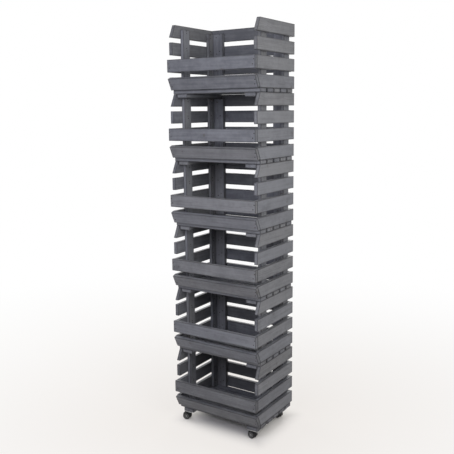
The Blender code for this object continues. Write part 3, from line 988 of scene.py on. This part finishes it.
def addNails(s):
    proud, deep, radius = s["headProud"], s["headDeep"], s["headRadius"]
    outline = [(0.0, proud)] + [(radius * u, proud * v) for u, v in s["headCurve"]]
    outline += [(radius * s["shankShare"], -deep), (0.0, -deep)]
    head = holder("nailHead", turnedShape("nailHead", outline, s["sides"], closed=False))
    for tier in range(1, crateCount + 1):
        name = f"tier_{tier}_nails"
        points, seed, body = nailPoints(tier, s, boardSizes), tier * s["seedStep"], crateBodies[tier - 1]
        addHeads(name, head, points, s["sizeSpread"], seed, "nailSteel", body)
    bpy.data.objects.remove(head)


addNails(nails)
print("nails set")

# casters: pressed plate, riveted pin, moulded hood and a pair of wheels on an axle.
# The hood and the wheels are made with the axle along Y through the origin and the swivel axis at -X.
casters = {
    "trail": 0.0145,
    "sides": 72,
    "boreSides": 32,
    "plateSide": 0.040,
    "plateCorner": 0.004,
    "plateThick": 0.002,
    "plateSoft": 0.0004,
    "cornerSteps": 6,
    "screwReach": 0.0145,      # from the swivel axis to a screw, along each side
    "screwHole": 0.0021,
    "screwHoleSides": 24,
    "collarRadius": 0.0105,
    "collarHeight": 0.004,
    "collarFoot": (0.94, 0.5),  # shares of its radius at its lower end, and of its height to full width
    "collarSunk": 0.0006,      # below the plate's top face
    "collarSoft": 0.0007,
    "pinRadius": 0.0026,
    "pinSoft": 0.22,           # rounding of the ends of pins and axles, as a share of their radius
    "pinHole": 0.0029,
    "pinHoleFloor": 0.00592,   # its lower end in the hood, above the axle
    # half a wheel's section: distance from the axle, and from the middle of the pair
    "wheel": [(0.0023, 0.0056), (0.0148, 0.0056), (0.0160, 0.0072), (0.0160, 0.0125), (0.0148, 0.0141),
              (0.0115, 0.0141), (0.0107, 0.0132), (0.0099, 0.0123), (0.0054, 0.0121), (0.0042, 0.0137),
              (0.0037, 0.0141), (0.0023, 0.0141)],
    "wheelSoft": 0.0007,
    "discRadius": 0.0113,
    "boreRadius": 0.0023,
    "axleRadius": 0.0020,
    "axleEnd": 0.0133,
    "rimRadii": (0.0170, 0.0186),
    "rimWidth": 0.012,
    "rimAngles": (8.0, 180.0),
    "rimSoft": 0.0006,
    "rimSteps": 44,
    "webThick": 0.009,
    "webRear": 215.0,
    "webBelow": 0.0055,
    "webSoft": 0.0005,
    "webSteps": 40,
    # lower end above the axle, upper end below the top, radius, rounding and number of sides
    "neck": (-0.004, 0.0004, 0.005, 0.0008, 48),
    "head": (0.0170, 0.0, 0.009, 0.0007, 72),
    "headReach": 0.001,
}


# points on an arc, both ends included
def arc(radius, start, end, steps):
    angles = [start + (end - start) * step / steps for step in range(steps + 1)]
    return [(radius * math.cos(a), radius * math.sin(a)) for a in angles]


def rectangle(x, y):
    return [(-x, -y), (x, -y), (x, y), (-x, y)]


def circle(radius, sides, x=0.0, y=0.0):
    return [(x + u, y + v) for u, v in arc(radius, 0.0, math.tau, sides)[:-1]]


def screwSpots(s):
    reach = s["screwReach"]
    return [(u, v) for u in (-reach, reach) for v in (-reach, reach)]


# upright on the swivel axis, heights measured from the underside of the collar
def plateShape(s):
    half, bore, outer = s["plateSide"] / 2, s["pinHole"], s["collarRadius"]
    height, top = s["collarHeight"], s["collarHeight"] + s["plateThick"]
    square = softened(rectangle(half, half), s["plateCorner"], steps=s["cornerSteps"])
    plate = slabShape("plate", square, height, top, s["plateSoft"])
    footOut, footUp = s["collarFoot"]
    outline = [(bore, 0.0), (outer * footOut, 0.0), (outer, height * footUp)]
    outline += [(outer, top - s["collarSunk"]), (bore, top - s["collarSunk"])]
    collar = turnedShape("collar", softened(outline, s["collarSoft"]), s["sides"])
    circles = [circle(s["screwHole"], s["screwHoleSides"], u, v) for u, v in screwSpots(s)]
    holes = [slabShape("hole", hole, 0.0, top + overrun) for hole in circles]
    holes.append(slabShape("hole", circle(bore, s["boreSides"]), -overrun, top + overrun))
    return carved("casterPlate", [plate, collar], holes)


def pinShape(name, radius, low, high, s):
    outline = [(0.0, low), (radius, low), (radius, high), (0.0, high)]
    outline = softened(outline, radius * s["pinSoft"], closed=False)
    mesh = turnedShape(name, outline, s["sides"] // 2, closed=False)
    mesh.materials.append(finishes["drawnSteel"])
    return mesh


def hoodShape(s):
    inner, outer = s["rimRadii"]
    middle, thick, half = (inner + outer) / 2, (outer - inner) / 2, s["rimWidth"] / 2
    start, end = (math.radians(angle) for angle in s["rimAngles"])
    section = softened(rectangle(thick, half), s["rimSoft"])
    rings = []
    for u, v in arc(1.0, start, end, s["rimSteps"]):
        rings.append([((middle + out) * u, across, (middle + out) * v) for out, across in section])
    rim = ringedShape("rim", rings)
    outline = arc(middle, start, math.radians(s["webRear"]), s["webSteps"]) + [(0.0, -s["webBelow"])]
    web = slabShape("web", outline, -s["webThick"] / 2, s["webThick"] / 2, s["webSoft"])

    top, axis = outer + s["headReach"], Matrix.Translation((-s["trail"], 0, 0))
    turned = []
    for part in ("neck", "head"):
        low, below, radius, soft, sides = s[part]
        core, high = s["pinHole"] / 2, top - below
        outline = softened([(core, low), (radius, low), (radius, high), (core, high)], soft)
        turned.append(turnedShape(part, outline, sides))
        turned[-1].transform(axis)
    pinCircle = circle(s["pinHole"], s["boreSides"], -s["trail"])
    pinBore = slabShape("pinBore", pinCircle, s["pinHoleFloor"], top + overrun)
    axleBore = slabShape("axleBore", circle(s["boreRadius"], s["boreSides"]), -half, half)
    for mesh in (web, axleBore):
        mesh.transform(Matrix.Rotation(math.radians(90), 4, "X"))
    return carved("casterHood", [rim, web] + turned, [pinBore, axleBore])


# the tyre is black and the disc inside it is grey
def wheelShape(s):
    mesh = turnedShape("casterWheel", softened(s["wheel"], s["wheelSoft"]), s["sides"])
    mesh.materials.append(finishes["blackPlastic"])
    mesh.materials.append(finishes["greyPlastic"])
    middle = (s["wheel"][0][1] + s["wheel"][-1][1]) / 2
    for face in mesh.polygons:
        centre = face.center
        face.material_index = int(math.hypot(centre.x, centre.y) < s["discRadius"] and centre.z > middle)
    mesh.transform(Matrix.Rotation(math.radians(-90), 4, "X"))
    return mesh


def addCasters(s):
    plate, hood, wheel = plateShape(s), hoodShape(s), wheelShape(s)
    axle = pinShape("casterAxle", s["axleRadius"], -s["axleEnd"], s["axleEnd"], s)
    plate.materials.append(finishes["zincPlated"])
    hood.materials.append(finishes["blackPlastic"])
    joints = {joint["name"]: joint for joint in frame["joints"]}
    onSide = Matrix.Rotation(math.radians(-90), 4, "X")
    half = Matrix.Rotation(math.pi, 4, "Z")
    for corner in corners:
        node = f"caster_{corner}"
        swivel = Vector(joints[f"swivel_{corner}_turn"]["pos_m"])
        roll = joints[f"wheels_{corner}_roll"]
        sideways = Vector(roll["axis"])
        turned = turnedTo(sideways.cross((0, 0, 1)), sideways, (0, 0, 1))
        onAxle = Matrix.Translation(roll["pos_m"]) @ turned
        onCollar = Matrix.Translation((swivel.x, swivel.y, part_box(f"{node}_plate")[0].z))
        pinLow, pinHigh = (end.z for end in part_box(f"{node}_kingpin"))
        pin = pinShape("casterPin", s["pinRadius"], pinLow, pinHigh, s)
        pieces = [
            ("plate", plate, onCollar, "bottom_crate", "zinc_plate"),
            ("kingpin", pin, Matrix.Translation((swivel.x, swivel.y, 0)), "bottom_crate", "steel_pin"),
            ("hood", hood, onAxle, f"swivel_{corner}", "black_plastic"),
            ("axle", axle, onAxle @ onSide, f"wheels_{corner}", "steel_pin"),
            ("wheel_1", wheel, onAxle, f"wheels_{corner}", "black_plastic"),
            ("wheel_2", wheel, onAxle @ half, f"wheels_{corner}", "black_plastic"),
        ]
        for part, shape, place, body, slot in pieces:
            mesh = shape.copy()
            mesh.transform(place)
            addPiece(f"{node}_{part}_fine", [mesh], body, [f"{node}_{part}"])


addCasters(casters)
print("casters fitted")

screws = {
    "headRadius": 0.0034,
    "headHeight": 0.0016,
    "headWall": 0.45,               # share of the height up to which the head's side is straight
    "headCurve": (0.72, 0.93),      # shares of the radius and the height
    "headSoft": 0.0004,
    "shankRadius": 0.0018,
    "shankReach": 0.0019,           # up into the plate
    "slotLength": 0.0036,
    "slotWidth": 0.0008,
    "slotDeep": 0.0007,
    "sides": 24,
    "seed": 5,
}


# pan head with a cross slot, its bearing face at height nought and the head upwards
def screwShape(s):
    radius, height = s["headRadius"], s["headHeight"]
    shank, reach = s["shankRadius"], s["shankReach"]
    curveOut, curveUp = s["headCurve"]
    outline = [(0.0, -reach), (shank, -reach), (shank, 0.0), (radius, 0.0), (radius, height * s["headWall"])]
    outline += [(radius * curveOut, height * curveUp), (0.0, height)]
    outline = softened(outline, s["headSoft"], closed=False)
    body = turnedShape("screwBody", outline, s["sides"], closed=False)
    length, width = s["slotLength"] / 2, s["slotWidth"] / 2
    arms = (rectangle(length, width), rectangle(width, length))
    slots = [slabShape("slot", arm, height - s["slotDeep"], height + overrun) for arm in arms]
    return carved("screw", [body], slots)


def addScrews(s, c):
    head = holder("screwHead", screwShape(s))
    points = []
    for corner in corners:
        low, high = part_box(f"caster_{corner}_plate")
        x, y, z = (low.x + high.x) / 2, (low.y + high.y) / 2, low.z + c["collarHeight"]
        points += [((x + u, y + v, z), (0, 0, -1)) for u, v in screwSpots(c)]
    addHeads("caster_screws", head, points, 0.0, s["seed"], "zincPlated", "bottom_crate")
    bpy.data.objects.remove(head)


addScrews(screws, casters)
print("screws set")
